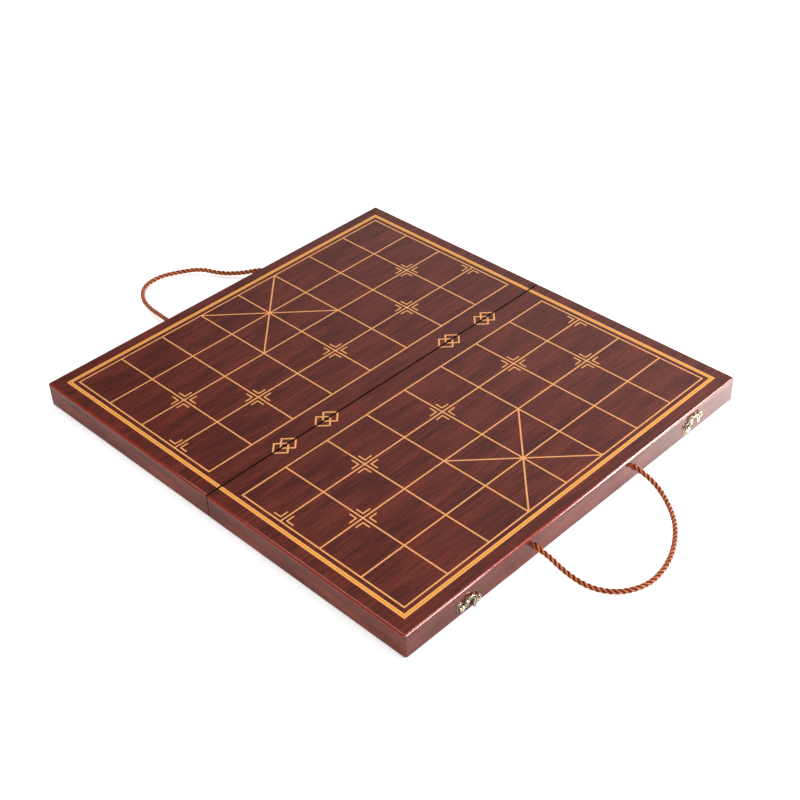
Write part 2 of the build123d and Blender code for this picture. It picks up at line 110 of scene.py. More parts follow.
def rosewood(name, ground, turn=0.0, shift=(0, 0, 0), gloss=1.0, playing_surface=False):
    """Sliced rosewood veneer under polished polyester lacquer: a soft, smoky figure in a dark red ground.

    ground gives its dark, middle and light colours, turn lays the grain along another direction, and shift
    takes another part of the flitch. gloss is how full the lacquer lies.
    """
    material, tree = new_material(name)
    place = add(tree, "TexCoord").outputs["Object"]
    laid = add(tree, "Mapping", {"Vector": place, "Location": shift, "Rotation": (0, 0, turn)})
    # The figure wanders a little across the grain.
    slow = add(tree, "Mapping", {"Vector": laid, "Scale": grains(180, 60, 60)})
    wander = add(tree, "TexNoise", {"Vector": slow, "Scale": 1.0, "Detail": 1.0})
    aside = add(tree, "CombineXYZ", {"Y": add(tree, "Math", {0: wander, 1: 9 * MM}, operation="MULTIPLY")})
    grain = add(tree, "VectorMath", {0: laid, 1: aside}, operation="ADD")
    figure_place = add(tree, "Mapping", {"Vector": grain, "Scale": grains(75, 15, 15)})
    figure = add(tree, "TexNoise", {"Vector": figure_place, "Scale": 1.0, "Detail": 3.0, "Roughness": 0.5})
    colour = add(tree, "ValToRGB", {0: figure}, list(zip((0.32, 0.5, 0.68), ground)))
    streak_place = add(tree, "Mapping", {"Vector": grain, "Scale": grains(40, 2, 2)})
    streaks = add(tree, "TexNoise", {"Vector": streak_place, "Scale": 1.0, "Detail": 2.0, "Roughness": 0.6})
    light = add(tree, "MapRange", {0: streaks, 1: 0.5, 2: 0.72, 4: 0.4})
    colour = add(tree, "Mix", {0: light, 6: colour, 7: linear("#8c3a2a")}, data_type="RGBA")
    shade = add(tree, "MapRange", {0: streaks, 1: 0.5, 2: 0.28, 4: 0.5})
    colour = add(tree, "Mix", {0: shade, 6: colour, 7: linear("#351410")}, data_type="RGBA")
    # Open pores, filled by the lacquer: dashes about 5 mm long.
    pore_place = add(tree, "Mapping", {"Vector": grain, "Scale": grains(5, 0.35, 0.35)})
    pores = add(tree, "TexNoise", {"Vector": pore_place, "Scale": 1.0, "Detail": 0.0})
    filled = add(tree, "MapRange", {0: pores, 1: 0.36, 2: 0.28, 4: 0.6})
    colour = add(tree, "Mix", {0: filled, 6: colour, 7: linear("#2b100c")}, data_type="RGBA")
    if playing_surface:
        # Round the outer edge the stain lies thin over the light core.
        offset = add(tree, "VectorMath", {0: place}, operation="ABSOLUTE")
        axes = add(tree, "SeparateXYZ", {0: offset})
        thin_from = 2.2 * MM  # in from the edge
        thin_to = 1.4 * MM
        across = add(
            tree, "MapRange", {0: axes.outputs[0], 1: half_width - thin_from, 2: half_width - thin_to}
        )
        along = add(
            tree, "MapRange", {0: axes.outputs[1], 1: half_depth - thin_from, 2: half_depth - thin_to}
        )
        outside = add(tree, "Math", {0: across, 1: along}, operation="MAXIMUM")
        height = add(tree, "MapRange", {0: axes.outputs[2], 1: top_z - 2.6 * MM, 2: top_z - 1.6 * MM})
        rounding = add(tree, "Math", {0: outside, 1: height}, operation="MULTIPLY")
        colour = add(tree, "Mix", {0: rounding, 6: colour, 7: linear("#95301a")}, data_type="RGBA")
        # Along the seam the top edge is painted near-black and loses its coat: painted shade for the gap
        # between the halves.
        seam = add(tree, "MapRange", {0: axes.outputs[1], 1: 1.15 * MM, 2: 0.9 * MM})
        brow = add(tree, "MapRange", {0: axes.outputs[2], 1: top_z - 0.9 * MM, 2: top_z - 0.5 * MM})
        rubbed_bare_and_seam_shade = add(tree, "Math", {0: seam, 1: brow}, operation="MULTIPLY")
        colour = add(tree, "Mix", {0: rubbed_bare_and_seam_shade, 6: colour, 7: linear("#170806")}, data_type="RGBA")
        gloss = add(tree, "Math", {0: 1.0, 1: rubbed_bare_and_seam_shade}, operation="SUBTRACT")
    # Sprayed lacquer keeps a trace of orange peel, and sinks a little over the pores.
    peel_place = add(tree, "Mapping", {"Vector": place, "Scale": grains(2.5, 2.5, 2.5)})
    peel = add(tree, "TexNoise", {"Vector": peel_place, "Scale": 1.0, "Detail": 1.0})
    lacquer = add(tree, "Bump", {"Height": peel, "Strength": 0.05, "Distance": 0.05 * MM})
    ticks = add(tree, "Bump", {"Height": pores, "Strength": 0.15, "Distance": 0.05 * MM})
    finish = {
        "Base Color": colour,
        "Normal": ticks,
        "Coat Normal": lacquer,
        "Roughness": 0.45,
        "Specular IOR Level": 0.05,
        "Coat Weight": gloss,
        "Coat Roughness": 0.06,
    }
    add(tree, "OutputMaterial", {"Surface": add(tree, "BsdfPrincipled", finish)})
    return material


def gilding(name, wide=False):
    """Gold-coloured bronze powder, screened into the grooves under the lacquer: warm, finely mottled."""
    material, tree = new_material(name)
    place = add(tree, "TexCoord").outputs["Object"]
    fine = add(tree, "Mapping", {"Vector": place, "Scale": grains(1.2, 1.2, 1.2)})
    mottle = add(tree, "TexNoise", {"Vector": fine, "Scale": 1.0, "Detail": 3.0})
    colour = add(tree, "ValToRGB", {0: mottle}, [(0.3, "#e8944e"), (0.5, "#fbae6a"), (0.7, "#ffc386")])
    if wide:
        # The wide band is laid in two passes: a deeper middle between two light edges.
        axes = add(tree, "SeparateXYZ", {0: add(tree, "VectorMath", {0: place}, operation="ABSOLUTE")})
        half_band = 2 * MM
        across = add(tree, "Math", {0: axes.outputs[0], 1: -band_low.x - half_band}, operation="SUBTRACT")
        along = add(tree, "Math", {0: axes.outputs[1], 1: -band_low.y - half_band}, operation="SUBTRACT")
        outer = add(tree, "Math", {0: across, 1: along}, operation="MAXIMUM")
        off = add(tree, "Math", {0: outer}, operation="ABSOLUTE")
        core = add(tree, "MapRange", {0: off, 1: 1.1 * MM, 2: 0.7 * MM})
        light = add(tree, "ValToRGB", {0: mottle}, [(0.3, "#f9ae57"), (0.7, "#ffc170")])
        deep = add(tree, "ValToRGB", {0: mottle}, [(0.3, "#ea9036"), (0.7, "#f7a345")])
        colour = add(tree, "Mix", {0: core, 6: light, 7: deep}, data_type="RGBA")
    flakes = add(tree, "Bump", {"Height": mottle, "Strength": 0.2, "Distance": 0.05 * MM})
    finish = {
        "Base Color": colour,
        "Normal": flakes,
        "Metallic": 0.15,
        "Roughness": 0.45,
        "Specular IOR Level": 0.1,
        "Coat Weight": 0.9,
        "Coat Roughness": 0.06,
    }
    add(tree, "OutputMaterial", {"Surface": add(tree, "BsdfPrincipled", finish)})
    return material


def antique_bronze():
    """Die-cast zinc, plated in antique bronze: dark in the hollows, rubbed pale along the edges."""
    material, tree = new_material("antique_bronze_plating")
    place = add(tree, "TexCoord").outputs["Object"]
    wear = add(tree, "Attribute", attribute_name="rubbed").outputs["Fac"]
    patches = add(tree, "Mapping", {"Vector": place, "Scale": grains(1.6, 1.6, 1.6)})
    blotches = add(tree, "TexNoise", {"Vector": patches, "Scale": 1.0, "Detail": 4.0, "Roughness": 0.6})
    patina = add(tree, "ValToRGB", {0: blotches}, [(0.36, "#241b12"), (0.5, "#574733"), (0.64, "#978468")])
    uneven = add(tree, "Math", {0: blotches, 1: 0.5}, operation="SUBTRACT")
    rubbed = add(tree, "Math", {0: wear, 1: uneven}, operation="ADD")
    rubbed_bare_and_seam_shade = add(tree, "MapRange", {0: rubbed, 1: 0.3, 2: 0.75})
    colour = add(tree, "Mix", {0: rubbed_bare_and_seam_shade, 6: patina, 7: linear("#f5e8cb")}, data_type="RGBA")
    roughness = add(tree, "MapRange", {0: rubbed_bare_and_seam_shade, 3: 0.42, 4: 0.22})
    specks = add(tree, "Mapping", {"Vector": place, "Scale": grains(0.5, 0.5, 0.5)})
    pits = add(tree, "TexNoise", {"Vector": specks, "Scale": 1.0, "Detail": 2.0})
    skin = add(tree, "Bump", {"Height": pits, "Strength": 0.3, "Distance": 0.08 * MM})
    finish = {
        "Base Color": colour,
        "Roughness": roughness,
        "Normal": skin,
        "Metallic": 1.0,
    }
    add(tree, "OutputMaterial", {"Surface": add(tree, "BsdfPrincipled", finish)})
    return material


def brushed_brass():
    """Rolled brass leaf, brushed along its length, with a slight tarnish."""
    material, tree = new_material("brushed_brass")
    place = add(tree, "TexCoord").outputs["Object"]
    clouds = add(tree, "Mapping", {"Vector": place, "Scale": grains(6, 6, 6)})
    tarnish = add(tree, "TexNoise", {"Vector": clouds, "Scale": 1.0, "Detail": 3.0})
    colour = add(tree, "ValToRGB", {0: tarnish}, [(0.35, "#a97f3d"), (0.65, "#d4ab5e")])
    strokes = add(tree, "Mapping", {"Vector": place, "Scale": grains(12, 0.15, 0.15)})
    brush = add(tree, "TexNoise", {"Vector": strokes, "Scale": 1.0, "Detail": 1.0})
    roughness = add(tree, "MapRange", {0: brush, 3: 0.24, 4: 0.42})
    lines = add(tree, "Bump", {"Height": brush, "Strength": 0.2, "Distance": 0.02 * MM})
    finish = {
        "Base Color": colour,
        "Roughness": roughness,
        "Normal": lines,
        "Metallic": 1.0,
    }
    add(tree, "OutputMaterial", {"Surface": add(tree, "BsdfPrincipled", finish)})
    return material


def zinc_plated_steel():
    """Bright zinc plating, clouded where it has been handled."""
    material, tree = new_material("zinc_plated_steel")
    place = add(tree, "TexCoord").outputs["Object"]
    clouds = add(tree, "Mapping", {"Vector": place, "Scale": grains(1, 1, 1)})
    cloud = add(tree, "TexNoise", {"Vector": clouds, "Scale": 1.0, "Detail": 2.0})
    colour = add(tree, "ValToRGB", {0: cloud}, [(0.3, "#9d9a90"), (0.7, "#c9c6bb")])
    finish = {
        "Base Color": colour,
        "Metallic": 1.0,
        "Roughness": 0.3,
    }
    add(tree, "OutputMaterial", {"Surface": add(tree, "BsdfPrincipled", finish)})
    return material


def wool_felt():
    """Pressed wool felt: matted fibres, without a weave, and a soft nap."""
    material, tree = new_material("wool_felt")
    place = add(tree, "TexCoord").outputs["Object"]
    hairs = add(tree, "Mapping", {"Vector": place, "Scale": grains(0.8, 0.8, 0.8)})
    fibres = add(tree, "TexNoise", {"Vector": hairs, "Scale": 1.0, "Detail": 5.0, "Roughness": 0.75})
    colour = add(tree, "ValToRGB", {0: fibres}, [(0.3, "#2b0d0a"), (0.5, "#471611"), (0.7, "#632219")])
    matted = add(tree, "Mapping", {"Vector": place, "Scale": grains(14, 14, 14)})
    clumps = add(tree, "TexNoise", {"Vector": matted, "Scale": 1.0, "Detail": 2.0})
    shade = add(tree, "ValToRGB", {0: clumps}, [(0.3, "#d8d8d8"), (0.7, "#ffffff")])
    shaded = add(tree, "Mix", {0: 1.0, 6: colour, 7: shade}, data_type="RGBA", blend_type="MULTIPLY")
    nap = add(tree, "Bump", {"Height": fibres, "Strength": 0.7, "Distance": 0.4 * MM})
    finish = {
        "Base Color": shaded,
        "Normal": nap,
        "Roughness": 0.95,
        "Sheen Weight": 0.5,
    }
    add(tree, "OutputMaterial", {"Surface": add(tree, "BsdfPrincipled", finish)})
    return material


filament_count = 7  # round one strand; the real ones are too fine to show


def twisted_rayon():
    """Rayon cord: each strand is a bundle of smooth filaments with a silky shine, twisted the other way."""
    material, tree = new_material("twisted_rayon")
    uv = add(tree, "UVMap", uv_map="strand")
    # u runs along the strand in metres, v round it in turns; filaments slant by one turn in 9 mm.
    slant = add(tree, "SeparateXYZ", {0: add(tree, "Mapping", {"Vector": uv, "Scale": (1 / (9 * MM), 1, 1)})})
    around = add(tree, "Math", {0: slant.outputs[0], 1: slant.outputs[1]}, operation="ADD")
    phase = add(tree, "Math", {0: around, 1: 2 * pi * filament_count}, operation="MULTIPLY")
    wave = add(tree, "Math", {0: phase}, operation="SINE")
    ridge = add(tree, "MapRange", {0: wave, 1: -1.0, 2: 1.0})
    place = add(tree, "TexCoord").outputs["Object"]
    lots = add(tree, "Mapping", {"Vector": place, "Scale": grains(7, 7, 7)})
    dye = add(tree, "TexNoise", {"Vector": lots, "Scale": 1.0, "Detail": 2.0})
    colour = add(tree, "ValToRGB", {0: dye}, [(0.3, "#cb6b38"), (0.7, "#eb8c55")])
    # The grooves between the filaments are painted darker: painted shade. The relief below also bends the
    # normals there.
    filament_groove_shade = add(tree, "ValToRGB", {0: ridge}, [(0.0, "#a5654a"), (0.55, "#ffffff")])
    threads = add(tree, "Mix", {0: 1.0, 6: colour, 7: filament_groove_shade}, data_type="RGBA", blend_type="MULTIPLY")
    # The strands' sides that face the cord's middle are painted dark red: painted shade in the gaps between
    # the strands.
    depth = add(tree, "Attribute", attribute_name="outside").outputs["Fac"]
    strand_gap_shade = add(tree, "ValToRGB", {0: depth}, [(0.35, "#5c0c02"), (0.85, "#ffffff")])
    shaded = add(tree, "Mix", {0: 1.0, 6: threads, 7: strand_gap_shade}, data_type="RGBA", blend_type="MULTIPLY")
    relief = add(tree, "Bump", {"Height": ridge, "Strength": 0.5, "Distance": 0.1 * MM})
    finish = {
        "Base Color": shaded,
        "Normal": relief,
        "Roughness": 0.32,
        "Specular IOR Level": 0.3,
    }
    add(tree, "OutputMaterial", {"Surface": add(tree, "BsdfPrincipled", finish)})
    return material


# ---------------------------------------------------------------- finishes of the CAD nodes

top_ground = ("#4f1b13", "#5f2318", "#6e2c1e")
rail_ground = ("#5f2117", "#732b1e", "#863829")
# The end rails have a slightly lighter ground than the long rails: a lit copy of the same wood, painted light
# that brightens the end faces.
end_rail_lit_ground = ("#612417", "#763020", "#8a3d2c")
top_veneer = rosewood("rosewood_veneer_lacquered", top_ground, playing_surface=True)
long_rail_wood = rosewood("rosewood_rail_lacquered", rail_ground, shift=(0.3, 0.05, 0.11))
side_rail_wood = rosewood(
    "rosewood_side_rail_lacquered", end_rail_lit_ground, turn=pi / 2, shift=(0.1, 0.4, 0.2), gloss=0.6
)
line_gilding = gilding("bronze_powder_gilding")
band_gilding = gilding("bronze_powder_gilding_wide", wide=True)
bronze = antique_bronze()
brass = brushed_brass()
zinc = zinc_plated_steel()
felt = wool_felt()
cord_rayon = twisted_rayon()

node_finish = {
    "panel": top_veneer,
    "outer_rail": long_rail_wood,
    "hinge_rail": long_rail_wood,
    "left_rail": side_rail_wood,
    "right_rail": side_rail_wood,
    "lining": felt,
    "grid_lines": line_gilding,
    "point_marks": line_gilding,
    "border_band": band_gilding,
    "river_ornaments": line_gilding,
    "hinge_screws": zinc,
    "leaf": brass,
    "pin": brass,
}

for name, obj in frame["nodes"].items():
    for ending, material in node_finish.items():
        if name.endswith(ending):
            obj.data.materials.clear()
            obj.data.materials.append(material)

# ---------------------------------------------------------------- new pieces


broad_from = 3 * MM  # the breadth from which a face is kept flat
narrow_to = 0.8 * MM  # the breadth up to which a face counts as an edge or a dome


def breadth(face):
    """Roughly how broad a face is, across its longest edge."""
    return face.calc_area() / max(edge.calc_length() for edge in face.edges)


def finish_piece(mesh_data, name, body, material, sharp):
    """Makes a piece of a bmesh, smooth up to the sharp angle in degrees, and rides it on its body.

    Broad flat faces stay flat right up to their edges.
    """
    mesh_data.normal_update()
    for face in mesh_data.faces:
        face.smooth = True
    broad = {face for face in mesh_data.faces if breadth(face) > broad_from}
    for edge in mesh_data.edges:
        limit = 1 if broad.intersection(edge.link_faces) else sharp
        edge.smooth = edge.calc_face_angle(pi) < radians(limit)
    mesh = bpy.data.meshes.new(name)
    mesh_data.to_mesh(mesh)
    mesh_data.free()
    mesh.materials.append(material)
    piece = bpy.data.objects.new(name, mesh)
    bpy.context.scene.collection.objects.link(piece)
    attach(piece, body)
    return piece


def joined_copy(node):
    """A bmesh of a node with its loose triangles joined into whole faces."""
    copy = bmesh.new()
    copy.from_mesh(frame["nodes"][node].data)
    bmesh.ops.remove_doubles(copy, verts=copy.verts, dist=0.001 * MM)
    bmesh.ops.dissolve_limit(copy, angle_limit=radians(0.5), verts=copy.verts, edges=copy.edges)
    return copy


def verts_of(geometry):
    """The points in what a mesh operation returns."""
    return [item for item in geometry if isinstance(item, bmesh.types.BMVert)]


def edges_of(geometry):
    """The edges in what a mesh operation returns."""
    return [item for item in geometry if isinstance(item, bmesh.types.BMEdge)]


def ease(copy, width, picked=lambda edge: True, segments=2):
    """Rounds the sharp edges that picked chooses."""
    edges = [
        edge
        for edge in copy.edges
        if edge.is_manifold and edge.calc_face_angle() > radians(30) and picked(edge)
    ]
    bmesh.ops.bevel(
        copy,
        geom=edges,
        offset=width,
        offset_type="OFFSET",
        affect="EDGES",
        segments=segments,
        profile=0.5,
        material=-1,
        clamp_overlap=True,
    )


def mark_rubbed(copy):
    """Notes how much the finish has worn off each point: edges, rims and domes most, hollows not at all."""
    layer = copy.verts.layers.float.new("rubbed")
    copy.normal_update()
    for vert in copy.verts:
        strand_gap_shade = min(edge.calc_face_angle_signed(0.0) for edge in vert.link_edges) < -radians(20)
        flat = max(breadth(face) for face in vert.link_faces) > narrow_to
        vert[layer] = 0.0 if strand_gap_shade else 0.25 if flat else 0.9


# Plates, rivets, pegs and nails: cast metal with soft, rubbed edges
cast_nodes = [
    (f"{end}_{piece}", body, width)
    for end in ("left", "right")
    for piece, body, width in (
        ("latch_plate", "near_half", 0.25),
        ("latch_rivet", "near_half", 0.1),
        ("catch_plate", "far_half", 0.25),
        ("catch_peg", "far_half", 0.1),
    )
]
cast_nodes += [("latch_nails", "near_half", 0.08), ("catch_nails", "far_half", 0.08)]
for node, body, width in cast_nodes:
    copy = joined_copy(node)
    ease(copy, width * MM, segments=3)
    mark_rubbed(copy)
    piece = finish_piece(copy, f"{node}_cast", body, bronze, sharp=50)
    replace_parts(piece, node)

# Hooks: a channelled arch over the mouth, a lip and a curled tail, on a tapered neck and a hub on the rivet
hook_back = 1.6 * MM  # face of the case to the back of a hook
hook_front = 3.0 * MM
hook_reach = 10.7 * MM  # pivot to the middle of the mouth
arch_width = 2.8 * MM
arch_middle = 5.1 * MM  # radius of the arch's middle line
lip_turn = 30  # degrees about the pivot
tip_turn = 3  # the last of them, where the lip narrows to its tip
tip_size = (0.6, 0.8, 0.6)  # of the section before it
hub_radius = 2.9 * MM
hub_hole = 1.25 * MM  # radius
leg_lean = 27  # degrees
leg_length = 6 * MM
neck_start = 2.2 * MM
neck_front = 2.7 * MM
neck_end = 6.2 * MM
neck_width = 5.2 * MM
neck_taper = 0.75  # width at the arch over width at the hub
tail_centre = Vector((19.1, 0, -1.6)) * MM
tail_radius = 2.6 * MM
tail_width = 1.6 * MM
tail_turn = 250  # degrees
bead_radius = 1.1 * MM
bead_depth = 0.7  # of its width
chamfer = 0.15 * MM
rim_width = 0.65 * MM
thin_rim_width = 0.35 * MM  # of the hub and the tail
hollow_depth = 0.5 * MM
forwards = Vector((0, -1, 0))  # out of the latch face; a positive turn about it is anticlockwise


def bar_section(hook, x, z, width, rim, front=hook_front):
    """A closed loop of edges: a bar cut level with the pivot, with a rim on each side of its front."""
    side = [
        (width / 2, hook_back),
        (width / 2, front - chamfer),
        (width / 2 - chamfer, front),
        (width / 2 - rim, front),
        (width / 2 - rim - chamfer, front - hollow_depth),
    ]
    corners = side + [(-across, out) for across, out in reversed(side)]
    verts = [hook.verts.new((x + across, -out, z)) for across, out in corners]
    return [hook.edges.new((verts[i - 1], verts[i])) for i in range(len(verts))]


def ends_of(edges):
    """The points that these edges join."""
    return list(dict.fromkeys(vert for edge in edges for vert in edge.verts))


def sweep(hook, loop, centre, turn, steps):
    """Carries a section round a centre through a turn in degrees, and returns it at the end."""
    swept = bmesh.ops.spin(
        hook, geom=ends_of(loop) + loop, cent=centre, axis=forwards, angle=radians(turn), steps=steps
    )
    return edges_of(swept["geom_last"])


def stretch(hook, loop):
    """Extrudes a section in place, and returns the new points and edges, to be moved."""
    geometry = bmesh.ops.extrude_edge_only(hook, edges=loop)["geom"]
    verts = verts_of(geometry)
    return verts, [edge for edge in edges_of(geometry) if all(vert in verts for vert in edge.verts)]


def turned(degrees):
    """A turn in the plane of the latch face, anticlockwise as it is seen."""
    return Matrix.Rotation(radians(degrees), 3, forwards)


def cast_hook(pivot, rest_turn):
    """A hook at its pivot, turned up from level by rest_turn degrees."""
    hook = bmesh.new()
    origin = Vector((0, 0, 0))
    mouth = Vector((hook_reach, 0, 0))
    # A straight leg crosses the neck and runs on as the arch, and that as the lip with its blunt tip.
    start = bar_section(hook, hook_reach - arch_middle, 0, arch_width, rim_width)
    leg_verts, leg_edges = stretch(hook, start)
    bmesh.ops.translate(hook, vec=(0, 0, leg_length), verts=leg_verts)
    bmesh.ops.translate(hook, vec=(0, 0, -leg_length), verts=hook.verts)
    bmesh.ops.rotate(hook, cent=mouth, matrix=turned(-leg_lean), verts=hook.verts)
    shoulder = sweep(hook, leg_edges, mouth, leg_lean - 180, 26)
    lip = sweep(hook, shoulder, origin, tip_turn - lip_turn, 9)
    tip_verts, tip_edges = stretch(hook, lip)
    bmesh.ops.rotate(hook, cent=origin, matrix=turned(-tip_turn), verts=tip_verts)
    middle = sum((vert.co for vert in tip_verts), Vector()) / len(tip_verts)
    bmesh.ops.scale(hook, vec=tip_size, space=Matrix.Translation(-middle), verts=tip_verts)
    # The tail leaves the lip and curls back to a bead.
    root = bar_section(hook, tail_centre.x - tail_radius, tail_centre.z, tail_width, thin_rim_width)
    end = sweep(hook, root, tail_centre, tail_turn, 30)
    for loop in (start, tip_edges, root, end):
        bmesh.ops.contextual_create(hook, geom=loop)
    bead_turn = radians(180 + tail_turn)
    bead_place = tail_centre + Vector((cos(bead_turn), 0, sin(bead_turn))) * tail_radius
    bead_place.y = -(hook_back + hook_front) / 2
    bead = bmesh.ops.create_uvsphere(hook, u_segments=16, v_segments=10, radius=bead_radius)["verts"]
    bmesh.ops.scale(hook, vec=(1, bead_depth, 1), verts=bead)
    bmesh.ops.translate(hook, vec=bead_place, verts=bead)
    # The hub is a ring round the rivet's shank.
    ring = bar_section(hook, (hub_radius + hub_hole) / 2, 0, hub_radius - hub_hole, thin_rim_width)
    bmesh.ops.spin(
        hook, geom=ends_of(ring) + ring, cent=origin, axis=forwards, angle=2 * pi, steps=40, use_merge=True
    )
    # The neck tapers from the hub to the arch.
    neck = bar_section(hook, 0, 0, neck_width, rim_width, front=neck_front)
    bmesh.ops.rotate(hook, cent=origin, matrix=turned(90), verts=ends_of(neck))
    bmesh.ops.translate(hook, vec=(neck_start, 0, 0), verts=ends_of(neck))
    far_verts, far_edges = stretch(hook, neck)
    bmesh.ops.translate(hook, vec=(neck_end - neck_start, 0, 0), verts=far_verts)
    bmesh.ops.scale(hook, vec=(1, 1, neck_taper), verts=far_verts)
    for loop in (neck, far_edges):
        bmesh.ops.contextual_create(hook, geom=loop)
    bmesh.ops.recalc_face_normals(hook, faces=hook.faces)
    bmesh.ops.rotate(hook, cent=origin, matrix=turned(rest_turn), verts=hook.verts)
    bmesh.ops.translate(hook, vec=pivot, verts=hook.verts)
    return hook


hook_rest_turns = {"left_hook": 0, "right_hook": 27}  # degrees up from level
for joint in frame["joints"]:
    node = joint["child"]
    if node in hook_rest_turns:
        hook = cast_hook(Vector(joint["pos_m"]), hook_rest_turns[node])
        mark_rubbed(hook)
        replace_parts(finish_piece(hook, f"{node}_cast", node, bronze, sharp=50), node)

# Outer edges of the playing surface: the rounding has a narrow flat, planed at 45 degrees
top_round = 2.0 * MM  # radius
planed_off = 0.2 * MM  # from the middle of the rounding
for half, side in (("near", -1), ("far", 1)):
    copy = joined_copy(f"{half}_panel")
    for out in (Vector((0, side, 0)), Vector((-1, 0, 0)), Vector((1, 0, 0))):
        slope = (out + Vector((0, 0, 1))).normalized()
        across = out.x * (half_width - top_round)
        along = out.y * (half_depth - top_round)
        centre = Vector((across, along, top_z - top_round))
        cut = bmesh.ops.bisect_plane(
            copy,
            geom=list(copy.verts) + list(copy.edges) + list(copy.faces),
            plane_co=centre + slope * (top_round - planed_off),
            plane_no=slope,
            clear_outer=True,
        )["geom_cut"]
        bmesh.ops.contextual_create(copy, geom=edges_of(cut))
    node = f"{half}_panel"
    panel = finish_piece(copy, f"{node}_planed", f"{half}_half", top_veneer, sharp=20)
    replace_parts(panel, node)

# Tray rims and cord holes: the wood is eased there before it is lacquered
hole_x = 68 * MM
hole_z = hinge_plane + 12.5 * MM
hole_reach = 4 * MM  # covers a cord hole's edge
eased = 0.5 * MM


def rim_or_hole(edge):
    """Whether an edge runs along the rim, or round a cord hole in the outer face. Joints stay sharp."""
    first, last = (vert.co for vert in edge.verts)
    if max(first.z, last.z) < rim_z + 0.01 * MM:
        mitre = 10 * MM < edge.calc_length() < 20 * MM
        return not mitre
    if min(abs(first.y), abs(last.y)) < half_depth - 0.01 * MM:
        return False
    squares = [(abs(point.x) - hole_x) ** 2 + (point.z - hole_z) ** 2 for point in (first, last)]
    return max(squares) < hole_reach**2


for half in ("near", "far"):
    for rail, wood in (("outer", long_rail_wood), ("left", side_rail_wood), ("right", side_rail_wood)):
        node = f"{half}_{rail}_rail"
        copy = joined_copy(node)
        ease(copy, eased, picked=rim_or_hole)
        piece = finish_piece(copy, f"{node}_eased", f"{half}_half", wood, sharp=20)
        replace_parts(piece, node)

# Cross recesses of the hinge screws, whose heads lie flush with the leaves
recess_reach = 1.0 * MM
recess_half_width = 0.28 * MM
recess_depth = 0.6 * MM
recess_taper = 0.7  # width at its floor over width at its mouth
head_reach = 2 * MM  # covers a head


def under_head(copy, centre, reach):
    """The faces of a screw head within reach of its middle."""
    return [
        face
        for face in copy.faces
        if face.normal.z < -0.9 and (face.calc_center_median() - centre).length < reach
    ]


for half in ("near", "far"):
    node = f"{half}_hinge_screws"
    copy = joined_copy(node)
    heads = [face.calc_center_median() for face in copy.faces if face.normal.z < -0.9]
    for centre in heads:
        for axis in (Vector((1, 0, 0)), Vector((0, 1, 0))):
            for offset in (-recess_reach, -recess_half_width, recess_half_width, recess_reach):
                faces = under_head(copy, centre, head_reach)
                edges = list(dict.fromkeys(edge for face in faces for edge in face.edges))
                verts = list(dict.fromkeys(vert for face in faces for vert in face.verts))
                bmesh.ops.bisect_plane(
                    copy, geom=faces + edges + verts, plane_co=centre + axis * offset, plane_no=axis
                )
        cross = []
        for face in under_head(copy, centre, recess_reach):
            off = face.calc_center_median() - centre
            if min(abs(off.x), abs(off.y)) < recess_half_width:
                cross.append(face)
        sunk = verts_of(bmesh.ops.extrude_face_region(copy, geom=cross)["geom"])
        narrowing = (recess_taper, recess_taper, 1)
        bmesh.ops.scale(copy, vec=narrowing, space=Matrix.Translation(-centre), verts=sunk)
        bmesh.ops.translate(copy, vec=(0, 0, recess_depth), verts=sunk)
    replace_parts(finish_piece(copy, f"{node}_driven", f"{half}_half", zinc, sharp=30), node)

# ---------------------------------------------------------------- cords

cord_radius = 2.5 * MM
strand_count = 3
lay_length = 15.5 * MM  # one turn of a strand round the cord
strand_share = 0.47  # strand radius, of the cord's
rail_thickness = 12 * MM
# Along X, out from the face, up from the hinge plane, in millimetres
front_loop = [
    (-68, -12, 12.5),
    (-68, 11, 12.5),
    (-68.6, 32.5, 4.8),
    (-68, 57.5, 2.7),
    (-57.5, 78.5, 2.7),
    (-34.5, 91.5, 2.7),
    (-10.5, 91, 2.7),
    (14, 83, 2.7),
    (38, 68, 2.7),
    (54, 51, 2.7),
    (68.5, 28, 3.4),
    (68, 8.5, 12.5),
    (68, -12, 12.5),
]
back_loop = [
    (-68, -12, 12.5),
    (-68, 9, 12.5),
    (-64.5, 32, 9.5),
    (-59.5, 53, 3.6),
    (-54, 76, 2.7),
    (-38, 96, 2.7),
    (-14, 99, 2.7),
    (8, 89, 2.7),
    (24, 73, 5.4),
    (35, 52, 3),
    (50, 33, 4.6),
    (68, 9, 12.5),
    (68, -12, 12.5),
]


def smooth_line(points):
    """Points along a NURBS spline with these control points."""
    curve = bpy.data.curves.new("route", "CURVE")
    curve.dimensions = "3D"
    curve.resolution_u = 24
    spline = curve.splines.new("NURBS")
    spline.points.add(len(points) - 1)
    for control, point in zip(spline.points, points):
        control.co = (*point, 1)
    spline.order_u = 3
    spline.use_endpoint_u = True
    carrier = bpy.data.objects.new("route", curve)
    line = bpy.data.meshes.new_from_object(carrier)
    found = [vert.co.copy() for vert in line.vertices]
    bpy.data.objects.remove(carrier)
    bpy.data.meshes.remove(line)
    return found


def even_steps(line, step):
    """The same line in steps of one length."""
    found, carried = [line[0]], 0.0
    for before, after in zip(line, line[1:]):
        length = (after - before).length
        while carried + length >= step:
            before = before.lerp(after, (step - carried) / length)
            length = (after - before).length
            found.append(before)
            carried = 0.0
        carried += length
    found.append(line[-1])
    return found


def carried_frames(line):
    """For each point the direction of travel and two sides that don't spin about it."""
    frames = []
    side = Vector((0, 0, 1))
    for i, point in enumerate(line):
        ahead = (line[min(i + 1, len(line) - 1)] - line[max(i - 1, 0)]).normalized()
        side = (side - ahead * side.dot(ahead)).normalized()
        frames.append((point, side, ahead.cross(side)))
    return frames


